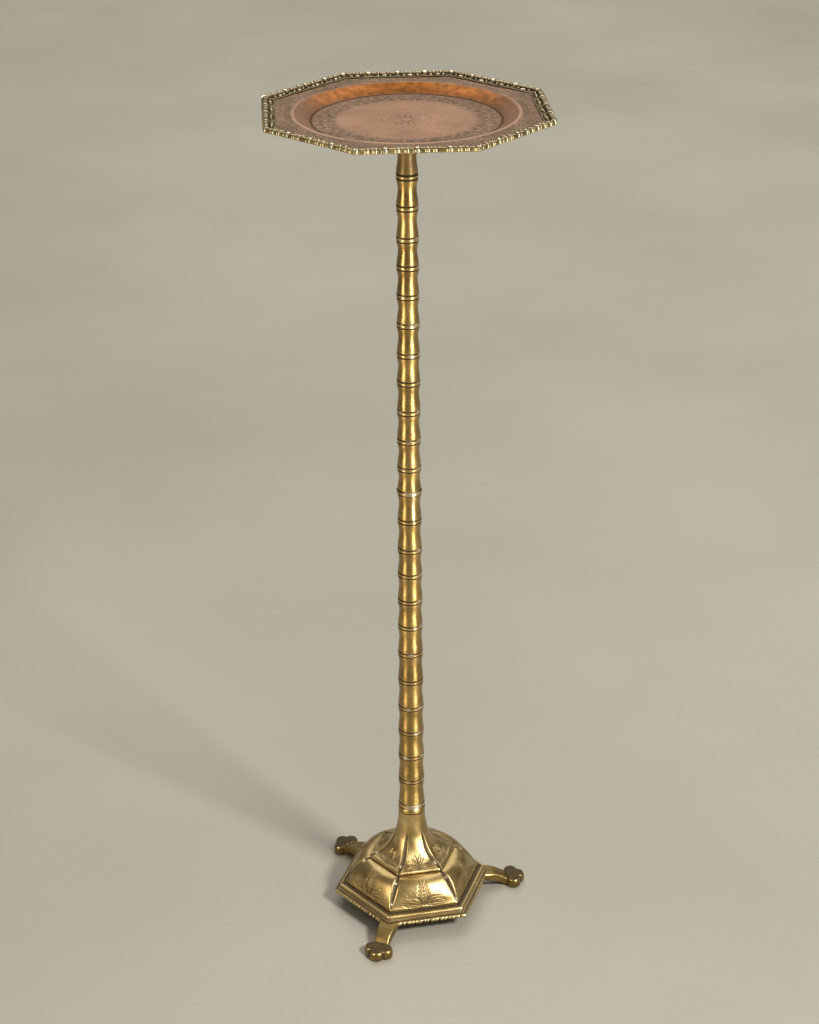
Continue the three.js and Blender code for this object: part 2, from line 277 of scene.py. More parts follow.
class Look:
    """A material's node tree, with one short call for each kind of node."""

    def __init__(self, name):
        self.material = bpy.data.materials.new(name)
        self.material.use_nodes = True
        self.tree = self.material.node_tree
        self.surface = self.tree.nodes["Principled BSDF"]
        self.place = self.tree.nodes.new("ShaderNodeTexCoord").outputs["Object"]

    def put(self, socket, value):
        if isinstance(value, bpy.types.NodeSocket):
            self.tree.links.new(value, socket)
        else:
            socket.default_value = value

    def node(self, kind, output, inputs, **settings):
        """One new node with its settings and inputs; gives back one of its outputs."""
        node = self.tree.nodes.new("ShaderNode" + kind)
        for name, setting in settings.items():
            setattr(node, name, setting)
        for socket, value in inputs.items():
            self.put(node.inputs[socket], value)
        return node.outputs[output]

    def stretched(self, scale):
        return self.node("Mapping", "Vector", {"Vector": self.place, "Scale": scale})

    def noise(self, scale, detail=4.0, place=None):
        """Cloudy values from 0 to 1; scale is in features for each metre."""
        inputs = {"Vector": place or self.place, "Scale": scale, "Detail": detail}
        return self.node("TexNoise", "Fac", inputs)

    def mark(self, name):
        return self.node("Attribute", "Fac", {}, attribute_name=name)

    def math(self, operation, a, b, clamp=False):
        return self.node("Math", 0, {0: a, 1: b}, operation=operation, use_clamp=clamp)

    def times(self, a, b):
        return self.math("MULTIPLY", a, b)

    def spread(self, value, low, high, to_low=0.0, to_high=1.0):
        """Maps values between low and high to another range, and clamps the rest."""
        inputs = {"Value": value, "From Min": low, "From Max": high, "To Min": to_low, "To Max": to_high}
        return self.node("MapRange", "Result", inputs)

    def mix(self, share, a, b):
        """A colour between a and b, each a socket or red, green and blue."""
        a, b = (c if isinstance(c, bpy.types.NodeSocket) else (*c, 1) for c in (a, b))
        return self.node("Mix", 2, {"Factor": share, 6: a, 7: b}, data_type="RGBA")

    def bump(self, height, distance, strength=1.0, normal=None):
        inputs = {"Height": height, "Distance": distance, "Strength": strength}
        if normal:
            inputs["Normal"] = normal
        return self.node("Bump", "Normal", inputs)

    def set(self, name, value):
        """Sets or links one input of the surface."""
        self.put(self.surface.inputs[name], value)

    def done(self, colour, roughness, metallic, normal):
        self.set("Base Color", colour)
        self.set("Roughness", roughness)
        self.set("Metallic", metallic)
        self.set("Normal", normal)
        return self.material


# Dark, middle and light tone of each brass.
CAST_TONES = ((0.304, 0.210, 0.086), (0.437, 0.308, 0.124), (0.575, 0.420, 0.184))
TURNED_TONES = ((0.262, 0.165, 0.053), (0.393, 0.251, 0.079), (0.524, 0.345, 0.118))
BORDER_TONES = ((0.20, 0.144, 0.060), (0.34, 0.248, 0.103), (0.49, 0.375, 0.172))
LEG_TONES = ((0.16, 0.108, 0.038), (0.25, 0.168, 0.056), (0.38, 0.262, 0.098))
# The border's rubbed ribs and painted highlights take this paler colour.
BORDER_WEAR_AND_HIGHLIGHT = (0.72, 0.64, 0.46)


def aged_brass(name, tones, roughness, turned=False, wear_and_highlight_tint=None, coat=0.3):
    """Old brass: cloudy tone, dark patina and painted shade in hollows, rubbed edges and painted highlights,
    solder and painted glints.
    """
    dark, mid, light = tones
    look = Look(name)
    cloud = look.noise(45, 6)
    grain = look.noise(520, 5)
    pits = look.spread(look.noise(600, 1), 0.17, 0.23, 1, 0)
    tone = look.math("ADD", look.times(cloud, 0.8), look.times(grain, 0.2))
    colour = look.mix(look.spread(tone, 0.30, 0.50), dark, mid)
    colour = look.mix(look.spread(tone, 0.50, 0.70), colour, light)
    grime_and_shade = look.math("MAXIMUM", look.mark("grime_and_shade"), look.times(pits, 0.4))
    grime_and_shade = look.times(grime_and_shade, look.spread(grain, 0.3, 0.55, 0.8, 1.0))
    # Rubbed edges and painted highlights take a colour paler than the light tone.
    colour = look.mix(look.mark("wear_and_highlight"), colour, wear_and_highlight_tint or tuple(1.25 * c for c in light))
    # Patina, and painted shade, darken towards near black.
    colour = look.mix(grime_and_shade, colour, (0.030, 0.021, 0.012))
    # Solder, and painted glints on the stem's rings, are pale grey.
    solder_and_glint = look.times(look.mark("solder_and_glint"), look.spread(grain, 0.35, 0.5))
    colour = look.mix(solder_and_glint, colour, (0.62, 0.58, 0.50))
    rough = look.spread(tone, 0.35, 0.65, roughness - 0.05, roughness + 0.07)
    rough = look.math("ADD", rough, look.times(grime_and_shade, 0.3))
    rough = look.math("SUBTRACT", rough, look.times(look.mark("wear_and_highlight"), 0.10), True)
    metallic = look.spread(grime_and_shade, 0, 1, 1.0, 0.35)
    if turned:
        lines = look.noise(170, 3, look.stretched((1, 1, 9)))
        height = look.math("ADD", grain, lines)
        # Lathe lines run round the stem, so they smear highlights up and down it.
        around = look.node("Tangent", "Tangent", {}, direction_type="RADIAL", axis="Z")
        look.set("Tangent", around)
        look.set("Anisotropic", 0.8)
        look.set("Anisotropic Rotation", 0.25)
        normal = look.bump(height, 0.00026, 0.5)
    else:
        normal = look.bump(grain, 0.00004, 0.5)
        normal = look.bump(look.noise(90, 2), 0.0008, 0.13, normal)
    look.set("Specular IOR Level", 0.3)
    # An old film of wax and lacquer gives highlights a whiter edge than bare brass has.
    bare = look.math("SUBTRACT", 1.0, grime_and_shade, True)
    look.set("Coat Weight", look.times(bare, coat))
    look.set("Coat Roughness", 0.22)
    return look.done(colour, rough, metallic, normal)


def aged_copper():
    """Tray copper: dull pink where handled, grey-green in the cuts, orange on the well's wall where polished
    and, on its far side, a painted reflection.
    """
    look = Look("aged_copper")
    cloud = look.noise(22, 6)
    grain = look.noise(420, 6)
    scratch = look.noise(60, 4, look.stretched((1, 14, 1)))
    colour = look.mix(look.spread(cloud, 0.38, 0.62), (0.40, 0.230, 0.142), (0.52, 0.300, 0.188))
    colour = look.mix(look.spread(grain, 0.42, 0.66, 0, 0.5), colour, (0.29, 0.190, 0.125))
    # Patina between the engraved leaves, and painted shade on the flange beside the border.
    ground = look.times(look.mark("ground"), look.spread(look.noise(330, 4), 0.30, 0.66))
    colour = look.mix(ground, colour, (0.145, 0.098, 0.062))
    # The well's wall: orange where polished, and on the side away from the camera a painted reflection of
    # the lights.
    polish_and_reflection = look.mark("polish_and_reflection")
    beaten = look.spread(look.noise(140, 5), 0.4, 0.6)
    polish_and_reflection_orange = look.mix(beaten, (0.205, 0.071, 0.015), (0.325, 0.114, 0.024))
    colour = look.mix(polish_and_reflection, colour, polish_and_reflection_orange)
    cuts = look.times(look.mark("grime_and_shade"), look.spread(grain, 0.3, 0.5, 0.55, 0.85))
    patina = look.mix(look.spread(cloud, 0.4, 0.6), (0.075, 0.066, 0.045), (0.130, 0.105, 0.070))
    colour = look.mix(cuts, colour, patina)
    # Painted shade in the seam at the foot of the well's wall, dark brown.
    crease_shade = look.mark("crease_shade")
    colour = look.mix(crease_shade, colour, (0.075, 0.036, 0.015))
    # Painted highlight on the rim and the cuts' edges, pale pink.
    colour = look.mix(look.mark("wear_and_highlight"), colour, (0.78, 0.58, 0.44))
    look.set("Specular IOR Level", 0.15)
    rough = look.spread(scratch, 0.35, 0.65, 0.46, 0.58)
    rough = look.math("SUBTRACT", rough, look.times(polish_and_reflection, 0.20))
    rough = look.math("ADD", rough, look.times(look.math("MAXIMUM", cuts, crease_shade), 0.2), True)
    metallic = look.spread(cuts, 0, 1, 0.92, 0.3)
    normal = look.bump(grain, 0.00012, 0.5)
    normal = look.bump(look.noise(110, 2), 0.0008, 0.35, normal)
    return look.done(colour, rough, metallic, normal)


def dull_steel():
    look = Look("dull_steel")
    grain = look.noise(600, 5)
    colour = look.mix(look.spread(grain, 0.35, 0.65), (0.16, 0.15, 0.14), (0.34, 0.33, 0.32))
    rough = look.spread(grain, 0.35, 0.65, 0.38, 0.6)
    normal = look.bump(look.noise(250, 3, look.stretched((1, 1, 8))), 0.0001, 0.6)
    return look.done(colour, rough, 1.0, normal)


def pale_floor():
    look = Look("pale_floor")
    cloud = look.noise(1.3, 5)
    grit = look.noise(240, 3)
    tone = look.math("ADD", look.times(cloud, 0.8), look.times(grit, 0.2))
    colour = look.mix(look.spread(tone, 0.35, 0.65), (0.472, 0.448, 0.370), (0.562, 0.535, 0.444))
    return look.done(colour, 0.75, 0.0, look.bump(grit, 0.0006, 0.35))


# ---- tray ----


def ring_foliage():
    """The leafy band near the edge of the tray's floor, with thin circles and ticks beside it."""
    repeats = 12
    radius = 79
    half = math.pi * radius / repeats
    cuts = [circle_cut(r, w) for r, w in ((67.4, 0.9), (90, 0.8))]
    spray = [stroke((-half, -2), (0, 1.5), 0.16, 1.8), stroke((0, 1.5), (half, -2), -0.16, 1.8)]
    for i in range(7):
        x = -half + 2.6 + i * (2 * half - 5.2) / 6
        slant = 3.6 if i % 2 else -3.6
        spray.append(stroke((x, 0.5), (x + slant, 10), 0.24, 2.0))
        spray.append(stroke((x, 2.5), (x - slant * 0.8, 8.5), -0.24, 1.6))
        spray.append(stroke((x, -1), (x + slant, -10), -0.22, 2.0))
        spray.append(stroke((x, -3), (x - slant * 0.8, -8.5), 0.22, 1.6))
    tick = stroke((-1.6, -1.5), (1.6, 1.5), 0.3, 1.3)
    return cuts + ringed(repeats, (spray, radius, 0)) + ringed(6 * repeats, ([tick], 64.2, 0))


def medallion():
    """The rosette in the middle of the floor."""
    cuts = [circle_cut(r, w) for r, w in ((24.2, 1.0), (12.6, 0.8), (4.8, 0.9))]
    petal = [
        stroke((0, -8), (0, 8.8), 0.15, 1.5),
        stroke((0, -8), (0, 8.8), -0.15, 1.5),
        stroke((0, 0), (0, 5), 0, 1.2),
    ]
    ray = stroke((0, -3.6), (0, 1.4), 0, 1.4)
    return cuts + ringed(14, (petal, 13, 0)) + ringed(8, ([ray], 8, 0))


def flange_foliage():
    """Bold palmettes at the corners of the flange and trailing leaves along its sides."""
    corner = [stroke((0, -11), (0, 13.5), 0, 1.8)]
    side_leaves = []
    for i in range(5):
        tip = (5.5 + 4.4 * i, 10.5 - 3.4 * i)
        side_leaves.append(stroke((0.8, 4 - 3.4 * i), tip, 0.20, 2.0))
        side_leaves.append(stroke((1.2, 4 - 3.4 * i), tip, 0.02, 1.3))
    corner += both_sides(side_leaves)
    trail = [stroke((0, -3.5), (30, -7), 0.10, 1.7)]
    for i in range(5):
        x = 3.0 + 5.4 * i
        y = -3.2 - 0.4 * i
        trail.append(stroke((x, y), (x + 6.4, y + 7.6 - 0.6 * i), -0.2, 2.0))
        trail.append(stroke((x, y), (x + 6.8, y - 3.6), 0.2, 1.6))
    middle = [stroke((0, -6), (0, 7.0), 0, 1.9), *both_sides(trail)]
    return [circle_cut(111.6, 1.0), *ringed(8, (corner, 121, 0), (middle, 117.5, 0.5))]


def tray_pan(material):
    columns = 608
    angle = all_round(columns)
    edge = (BORDER_FLAT - 1.8) / np.cos(nearest_turn(angle, TURN / 16, TURN / 8))
    floor = PAN_LOW + SHEET
    inner = np.hstack([[0, 1.5, 3, 4.2], np.arange(5.0, WELL_FLOOR_RADIUS - 3, 0.9)])
    # The wall: a fillet from the floor, the slope, and a rounded rim that stands a little proud.
    wall = spline([(89.4, floor), (91.2, floor + 0.05), (93.2, floor + 0.75), (100, floor + 4.4)], 0.8)
    rim = spline(
        [wall[-1], (105.6, floor + 7.35), (107, PAN_HIGH + 0.02), (108.2, PAN_HIGH + 0.12),
         (109.8, PAN_HIGH - 0.02)], 0.7
    )
    slope = np.vstack([wall[:-1], rim])
    flange_shares = np.linspace(0, 1, 28)[1:]
    radii = [np.full(columns, r) for r in [*inner, *slope[:, 0]]]
    heights = [*([floor] * len(inner)), *slope[:, 1]]
    last = slope[-1, 0]
    radii += [last + (edge - last) * share for share in flange_shares]
    heights += [PAN_HIGH] * len(flange_shares)
    top = len(radii)
    radii += [edge, edge - 1.6]
    heights += [PAN_HIGH - SHEET] * 2
    for radius, height in ((112, PAN_HIGH - SHEET), (107, PAN_HIGH - SHEET - 0.5),
                           (93.5, PAN_LOW + 0.6), (91, PAN_LOW), (40, PAN_LOW), (0, PAN_LOW)):
        radii.append(np.full(columns, radius))
        heights.append(height)
    radii = np.array(radii)
    heights = np.array(heights)[:, None]
    x, y = radii * np.cos(angle), radii * np.sin(angle)
    cut = np.zeros_like(radii)
    everything = [*ring_foliage(), *medallion(), *flange_foliage()]
    cut[:top] = depth_in(everything, x[:top], y[:top])
    # The old sheet is no longer flat: faint dents and a slow wave.
    wave = 0.25 * np.sin(x / 31 + 1) * np.sin(y / 27) + 0.08 * np.sin(x / 9) * np.sin(y / 11 + 2)
    lies_free = (radii < edge - 8) & (np.arange(len(radii)) < top)[:, None]
    heights = heights + np.where(lies_free, wave * 0.6 - 0.15, 0) - 0.30 * soft(cut * 1.6)
    on_wall = soft(radii - 91.5, 1.5) * soft(109.2 - radii, 1.2)
    in_band = soft(radii - 67, 1.5) * soft(91 - radii)
    # Painted shade on the flange next to the border's inner edge.
    border_shade = soft(radii - edge + 24, 14)
    outside_rosette = 0.12 * soft(radii - 27, 6)
    on_flange = 0.78 * soft(radii - 110, 1.5)
    facet = soft(cut * 4) * (1 - soft(cut * 2.4))
    # The wall's far side, away from the camera, gets a painted reflection.
    far_side = -np.cos(angle - VIEW_FROM)
    marks = {
        "grime_and_shade": soft(cut * 1.7),
        "ground": outside_rosette + 0.80 * in_band + on_flange + 0.45 * border_shade,
        # Painted shade in the seam at the wall's foot.
        "crease_shade": 0.85 * hump(radii - 91.2, 2.2) + 0.3 * hump(radii - 93, 7),
        "polish_and_reflection": on_wall * (0.15 + 0.85 * soft(far_side, 0.6)),
        # A painted highlight along the well's rim, and on the cuts' edges.
        "wear_and_highlight": 0.45 * hump(radii - 108.4, 0.9) + 0.25 * facet,
    }
    for mark in marks.values():
        mark[top:] = 0
    piece = grid_mesh("tray_pan_copper", np.stack([x, y, heights], -1), marks, closed_section=False)
    place(piece, "copper_tray", material, "tray_pan")


# Where each rib stands along a side, from -1 to 1, and whether it is a large one.
RIB_PLACES = [(-1, 1), (-0.5, 1), (0, 1), (0.5, 1), (1, 1)]
for start in (-1, -0.5, 0, 0.5):
    RIB_PLACES += [(start + 0.179, 0), (start + 0.321, 0)]


def border_ribs(along, share, length):
    """How far the ribs stand out on the roll and past it, and the gutters beside them."""
    rib, crossing, gutter = np.zeros((3, len(along), len(share)))
    for place_share, large in RIB_PLACES:
        wobble = uniform(-0.035, 0.035) * (abs(place_share) < 1)
        distance = (share - place_share - wobble) * length
        half = (2.7 if large else 1.5) * uniform(0.85, 1.2)
        rise = (1.15 if large else 0.8) * uniform(0.75, 1.1)
        end_on = np.clip((along - 0.31) / (0.36 if large else 0.60), -1, 1)
        bar = rise * np.sqrt(np.clip(1 - (distance / half) ** 2 - end_on**2, 0, 1))
        rib = np.maximum(rib, bar)
        crossing = np.maximum(crossing, (0.7 if large else 0.25) * rise * hump(distance, half))
        gutter = np.maximum(gutter, rise * hump(np.abs(distance) - half - 0.1, 0.95))
    return rib, crossing, gutter


def border_beads(along, share, length):
    """A large and two small beads in each of the four arches on a strip's inner side."""
    bead = np.zeros((len(along), len(share)))
    for middle_share in (-0.75, -0.25, 0.25, 0.75):
        for shift, size in ((-7.2, 1.7), (0, 3.0), (7.2, 1.7)):
            away = share * length - middle_share * length - shift - uniform(-0.8, 0.8)
            size *= uniform(0.8, 1.2)
            off = (along - uniform(0.73, 0.80)) * 19
            oval = np.clip(1 - (away / size) ** 2 - (off / (0.75 * size)) ** 2, 0, 1)
            bead = np.maximum(bead, np.sqrt(oval))
    return bead


def border_strip(number, material):
    """Gadroon border: a half-round roll crossed by ribs, with beads in arched hollows inside it."""
    columns = 300
    share = np.linspace(-1, 1, columns)
    crest = TRAY_TOP - 0.95
    seat = PAN_HIGH + 0.3
    outer = BORDER_FLAT - 0.55
    section = spline(
        [(outer - 1.3, TRAY_TOP - 5.4), (outer - 0.2, TRAY_TOP - 5.0), (outer, TRAY_TOP - 3.4),
         (outer - 0.9, crest - 1.0), (outer - 3.0, crest), (outer - 5.3, crest - 0.7),
         (outer - 6.6, crest - 2.0), (outer - 8.6, crest - 2.1), (outer - 10.4, crest - 2.5),
         (BORDER_FLAT - BORDER_WIDTH, seat + 0.45)], 0.36
    )
    along = np.linspace(0, 1, len(section))[:, None]  # from the outer foot to the inner edge
    length = BORDER_FLAT * math.tan(math.pi / 8)
    rib, crossing, gutter = border_ribs(along, share, length)
    bead = border_beads(along, share, length)
    # Four shallow arches hollow the inner side.
    gap = 1 - np.abs(np.mod(share * 2 + 1, 1) * 2 - 1)
    on_roll = soft(along / 0.10) * soft(0.66 - along, 0.1)
    on_lobes = soft(along - 0.50, 0.12)
    arch = np.sqrt(1 - (1 - gap) ** 2)
    reach = 0.70 + 0.24 * arch
    hollow = on_lobes * soft(reach - along, 0.08) * (1 - soft(2 * bead)) * (1 - soft(2 * crossing))
    arch_line = on_lobes * hump(along - reach - 0.02, 0.06) * (1 - soft(2 * bead))
    lift = 0.74 * (rib * on_roll + crossing * on_lobes * soft(1.02 - along, 0.1))
    lift = lift - 0.55 * gutter * on_roll - 0.95 * hollow + 0.30 * arch_line + bead
    tangent = np.gradient(section, axis=0)
    tangent /= np.linalg.norm(tangent, axis=1, keepdims=True)
    depth_x = section[:, :1] + tangent[:, 1:] * lift
    height = section[:, 1:] - tangent[:, :1] * lift
    depth_x += on_lobes * (0.9 - 1.5 * arch) * soft(along - 0.8, 0.2) * 0.8
    depth_x = np.minimum(depth_x, BORDER_FLAT - 0.05)
    # The mitred corners are filed round.
    to_corner = (1 - np.abs(share)) * length
    depth_x -= 0.8 * hump(to_corner, 7) * soft(0.5 - along, 0.4)
    height = np.minimum(height - 0.5 * hump(to_corner, 4), TRAY_TOP)
    # The underside: flat on the pan's flange, with the lip outside the pan's edge.
    outside = np.full(columns, BORDER_FLAT - 1.5)
    depth_x = np.vstack([depth_x, depth_x[-1] + 0.3, outside, outside])
    height = np.vstack([height, *(np.full(columns, z) for z in (seat, seat, TRAY_TOP - 5.4))])
    side = share * (depth_x * math.tan(math.pi / 8) - 0.12)
    middle = (number - 0.5) * TURN / 8
    cos, sin = math.cos(middle), math.sin(middle)
    grid = np.stack([depth_x * cos - side * sin, depth_x * sin + side * cos, height], -1)
    filler = np.zeros((3, columns))
    grime_and_shade = np.clip(0.95 * gutter * on_roll + 0.95 * hollow + 0.60 * on_lobes * (1 - bead), 0, 1)
    # Rubbed ribs and beads, with painted highlights on them.
    wear_and_highlight = 0.9 * rib * on_roll + 0.3 * crossing * on_lobes + 0.3 * arch_line + 0.7 * bead
    marks = {"grime_and_shade": np.vstack([grime_and_shade, filler]), "wear_and_highlight": np.vstack([wear_and_highlight - grime_and_shade, filler])}
    name = f"border_strip_{number:02d}"
    piece = grid_mesh(name + "_cast", grid, marks, ring=False, sharp_degrees=65)
    place(piece, "border_brass", material, name)


def tray_boss(material):
    bottom, top = span("tray_boss")
    outline = spline(
        [(10.7, bottom), (12.2, bottom + 0.8), (12.4, bottom + 3), (10.3, bottom + 6), (10.2, bottom + 8),
         (12, bottom + 13), (19, top - 5.5), (30.6, top - 2.4), (31.9, top - 1.4), (32, top)], 0.7
    )
    outline = np.vstack([outline, [(ROD_HOLE, top), (ROD_HOLE, bottom)]])
    angle = all_round(96)
    grid = polar(outline[:, :1], angle, outline[:, 1:])
    # Rubbing, with a painted highlight, near the top's rounded edge.
    marks = {"grime_and_shade": 0.35, "wear_and_highlight": 0.6 * hump(outline[:, 1:] - top + 2.2, 1.5)}
    piece = grid_mesh("tray_boss_turned", grid, marks)
    place(piece, "aged_brass", material, "tray_boss")


# ---- stem ----

STEM_LOW = span(SPOOLS[0])[0]
STEM_HIGH = span(SPOOLS[-1])[1]
RING_LOW = box(SPOOLS[0])[1][0]
RING_HIGH = box(SPOOLS[-1])[1][0]
CAMERA_RIGHT = VIEW_FROM + math.pi / 2
WAIST = 1.25


def ring_radius(height):
    """The stem's radius at its rings, which tapers to the top."""
    share = (height - STEM_LOW) / (span(SPOOLS[-1])[0] - STEM_LOW)
    return RING_LOW + (RING_HIGH - RING_LOW) * share


def lean(angle, joint):
    """How far a ring's joint is tilted at each angle: old castings don't stack square."""
    size, direction = joint
    return size * np.cos(angle - direction)


def spool(name, joint_below, joint_above, solder_and_glint_patches, seam=0.0, pitted=False):
    bottom, top = span(name)
    upward = (bottom - STEM_LOW) / (STEM_HIGH - STEM_LOW)
    band = 4.7 if name == SPOOLS[0] else 3 + upward
    radius = ring_radius(bottom)
    upper = ring_radius(top)
    stand = 0.6 if name == MIDDLE_SPOOL else 0.0
    draw = WAIST + 0.45 * upward
    body = bottom + band + 0.9
    length = top - body

    def at(share, drawn):
        height = body + length * share
        return (ring_radius(height) - drawn * draw, height)

    foot = [
        (radius - 1.5, bottom), (radius - 0.95 + stand, bottom + 0.10),
        (radius - 0.12 + stand, bottom + 0.50), (radius + 0.02 + stand, bottom + band / 2),
        (radius - 0.10 + stand, bottom + band - 0.30),
        (radius - 1.25, bottom + band + 0.15), (radius - 1.40, bottom + band + 0.50),
        (radius - 0.42, bottom + band + 0.80), (radius - 0.22, body + 0.5),
    ]
    waist = [at(0.18, 0.30), at(0.36, 0.72), at(0.56, 1.0), at(0.73, 0.82), at(0.86, 0.38), at(0.95, 0.10)]
    lip = [(upper - 0.22, top - 0.50), (upper - 0.95, top - 0.08), (upper - 1.5, top)]
    body_outline = spline([foot[-1], *waist, lip[0]], 0.75)
    outline = np.vstack([spline(foot, 0.28)[:-1], body_outline[:-1], spline(lip, 0.28)])
    bore = radius - draw - 2.6
    outline = np.vstack([outline, [(bore, top), (bore, bottom)]])
    columns = 96
    angle = all_round(columns)
    height = outline[:, 1:]
    share = (height - bottom) / (top - bottom)
    phase = uniform(0, TURN, 3)
    lumps = 0.09 * np.sin(2 * angle + phase[0]) + 0.06 * np.sin(3 * angle + phase[1] + share * 3)
    outside = (np.arange(len(outline)) < len(outline) - 2)[:, None]
    reach = outline[:, :1] + lumps * outside * np.sin(math.pi * np.clip(share, 0, 1))
    groove = hump(height - bottom - band - 0.35, 1.75) + hump(height - bottom, 1.45)
    groove = np.clip(1.4 * (groove + hump(height - top, 1.2)), 0, 1)
    on_band = soft(bottom + band - height, 0.8) * soft(height - bottom, 0.5)
    solder_and_glint = np.zeros_like(reach)
    for direction, spread, strength in solder_and_glint_patches:
        patch = strength * hump(nearest_turn(angle, direction), spread)
        solder_and_glint = np.maximum(solder_and_glint, patch * soft(bottom + band + 1.1 - height, 0.8))
    if seam:
        line = hump(nearest_turn(angle, VIEW_FROM + seam), 0.09)
        solder_and_glint = np.maximum(solder_and_glint, 0.75 * line * (share < 0.97))
    pits = np.zeros_like(reach)
    if pitted:
        for i in range(6):
            across = nearest_turn(angle, VIEW_FROM + 0.42 + 0.03 * (i % 2)) * radius
            pits = np.maximum(pits, hump(np.hypot(across, height - body - 3.5 - 2.5 * i), 0.95))
    reach = reach + outside * (0.55 * solder_and_glint * groove - 0.5 * pits)
    # The stem is darker close under the tray: a painted shadow of the tray.
    tray_shadow = 0.68 * soft(height - STEM_HIGH + 46, 30)
    tilt = lean(angle, joint_below) * (1 - share) + lean(angle, joint_above) * share
    grid = polar(reach, angle, height + tilt)
    marks = {
        "grime_and_shade": (groove * (1 - 0.8 * solder_and_glint) + pits + tray_shadow) * outside,
        # Rubbing, and a painted highlight, on each ring's band.
        "wear_and_highlight": 0.55 * on_band * outside,
        "solder_and_glint": solder_and_glint * outside,
    }
    return grid_mesh(name + "_cast", grid, marks)


def stem(material):
    """Twenty-four cast spools, each with a little lean and some old solder at its ring; most rings also get
    a painted glint.
    """
    joints = [(uniform(0.05, 0.32), uniform(0, TURN)) for _ in range(25)]
    joints[0] = (0.0, 0.0)
    joints[-1] = (0.0, 0.0)
    for i, name in enumerate(SPOOLS):
        patches = []
        # Most rings get a pale patch towards the camera's right: a painted glint.
        if uniform(0, 1) < 0.75:
            direction = CAMERA_RIGHT - uniform(0.1, 0.7)
            patches.append((direction, uniform(0.25, 0.6), uniform(0.5, 0.9)))
        for _ in range(2):
            patches.append((uniform(0, TURN), uniform(0.15, 0.4), uniform(0.2, 0.6)))
        if name in (MIDDLE_SPOOL, SPOOLS[0]):
            patches = [(VIEW_FROM + 0.25, 1.0, 0.8), (VIEW_FROM - 2.6, 0.8, 0.8)]
        seam = 0.35 if name == SEAMED_SPOOL else 0.0
        piece = spool(name, joints[i], joints[i + 1], patches, seam, name == SPOOLS[0])
        place(piece, "aged_brass", material, name)


def neck_collar(material):
    bottom, top = span("neck_collar")
    radius = box("neck_collar")[1][0]
    outline = spline(
        [(radius - 1.6, bottom), (radius - 1.0, bottom + 0.5), (radius - 0.05, bottom + 1.3),
         (radius + 0.1, bottom + 2.8), (radius - 0.1, top - 1.0), (radius - 0.7, top - 0.35),
         (radius - 1.5, top)], 0.3
    )
    rows = len(outline)
    outline = np.vstack([outline, [(ROD_HOLE, top), (ROD_HOLE, bottom)]])
    angle = all_round(120)
    height = outline[:, 1:]
    outside = (np.arange(len(outline)) < rows)[:, None]
    front = hump(nearest_turn(angle, VIEW_FROM + 0.1), 0.9)
    solder_and_glint = 0.8 * front * hump(height - top, 1.6) * outside
    grime_and_shade = (hump(height - bottom, 1.3) + 0.8 * hump(height - top, 0.6) - solder_and_glint) * outside
    wear_and_highlight = 0.5 * hump(height - bottom - 2.6, 1.6) * outside
    grid = polar(outline[:, :1] + 0.35 * solder_and_glint, angle, height)
    piece = grid_mesh("neck_collar_turned", grid, {"grime_and_shade": grime_and_shade, "wear_and_highlight": wear_and_highlight, "solder_and_glint": solder_and_glint})
    place(piece, "aged_brass", material, "neck_collar")


# ---- bell ----

SIDE = TURN / 6


def six_sided(angle):
    """A hexagon's share of its corner radius at each angle; its corners are at -90 + 60 n degrees."""
    return math.cos(SIDE / 2) / np.cos(nearest_turn(angle, 0, SIDE))


# Corner radius, height and how six-sided the outline is, from 0 to 1. Inside, heights are above
# the bell's base.
PETALS = [
    (14.6, 116.5, 0), (14.75, 112, 0), (15.4, 104, 0), (18.1, 90.4, 0.1), (23.2, 78.1, 0.35),
    (29.2, 70.4, 0.6), (36.5, 65.1, 0.85), (43.5, 62.3, 0.97), (47.6, 61.0, 1), (49.2, 59.6, 1),
    (49.0, 58.2, 1), (47.2, 57.0, 1),
]
PANELS = [
    (47.2, 57.0, 0.95), (52.5, 56.2, 0.30), (59, 52.2, 0.12), (66, 45.7, 0.35), (71.2, 38.5, 0.65),
    (74.2, 32.5, 0.92), (75.6, 30.4, 1), (76.1, 29.2, 1), (75.8, 28.0, 1),
]
BELL_INSIDE = [
    (74, 0.3, 1), (70.1, 9.7, 0.7), (63.8, 17.2, 0.35), (56.8, 22.8, 0.12), (46, 26.8, 0.6),
    (35, 34.2, 0.85), (24.5, 43.7, 0.5), (16, 61.7, 0.05), (12.8, 85.2, 0),
    (ROD_HOLE, 85.2, 0), (ROD_HOLE, 89.7, 0),
]


def blades(root, tips, width):
    """Long leaves that spring from one root, each drawn as two lines that meet at its tip."""
    out = []
    for x, y, bow in tips:
        out.append(stroke(root, (x, y), bow, width))
        out.append(stroke(root, (x, y), bow - 0.17, width * 0.75))
    return out


def petal_cuts():
    """The sprig above the middle of each petal's lip; y runs up from the lip."""
    fan = blades((0.6, 2.4), [(13, 5.5, 0.16), (11.5, 13, 0.22), (7.5, 20, 0.20)], 1.9)
    fan += blades((0.4, 9), [(3.6, 25, 0.08)], 1.7)
    return [stroke((0, 2.6), (0, 22), 0, 1.6), *both_sides(fan)]


def panel_cuts():
    """The upright frond and its spreading side leaves; y runs up from the rim."""
    half = []
    for i in range(5):
        y = 7 + 4.9 * i
        half += blades((0.7, y), [(8.4 - i, y + 9, 0.05)], 1.8)
    low_leaves = [(24.5, 8.5, 0.20), (19.5, 14.5, 0.24), (12.5, 16.5, 0.26), (22.5, 3.6, 0.10)]
    half += blades((1.5, 3.6), low_leaves, 2.1)
    half += [
        stroke((24.5, 8.5), (21, 6.2), 0.45, 1.6),
        stroke((17, 18), (17.9, 18.6), 0, 2.2),
        stroke((12.8, 21), (13.6, 21.6), 0, 2.2),
    ]
    return [stroke((0, 3), (0, 29.5), 0, 1.5), stroke((0, 30), (0, 36), 0, 2.2), *both_sides(half)]


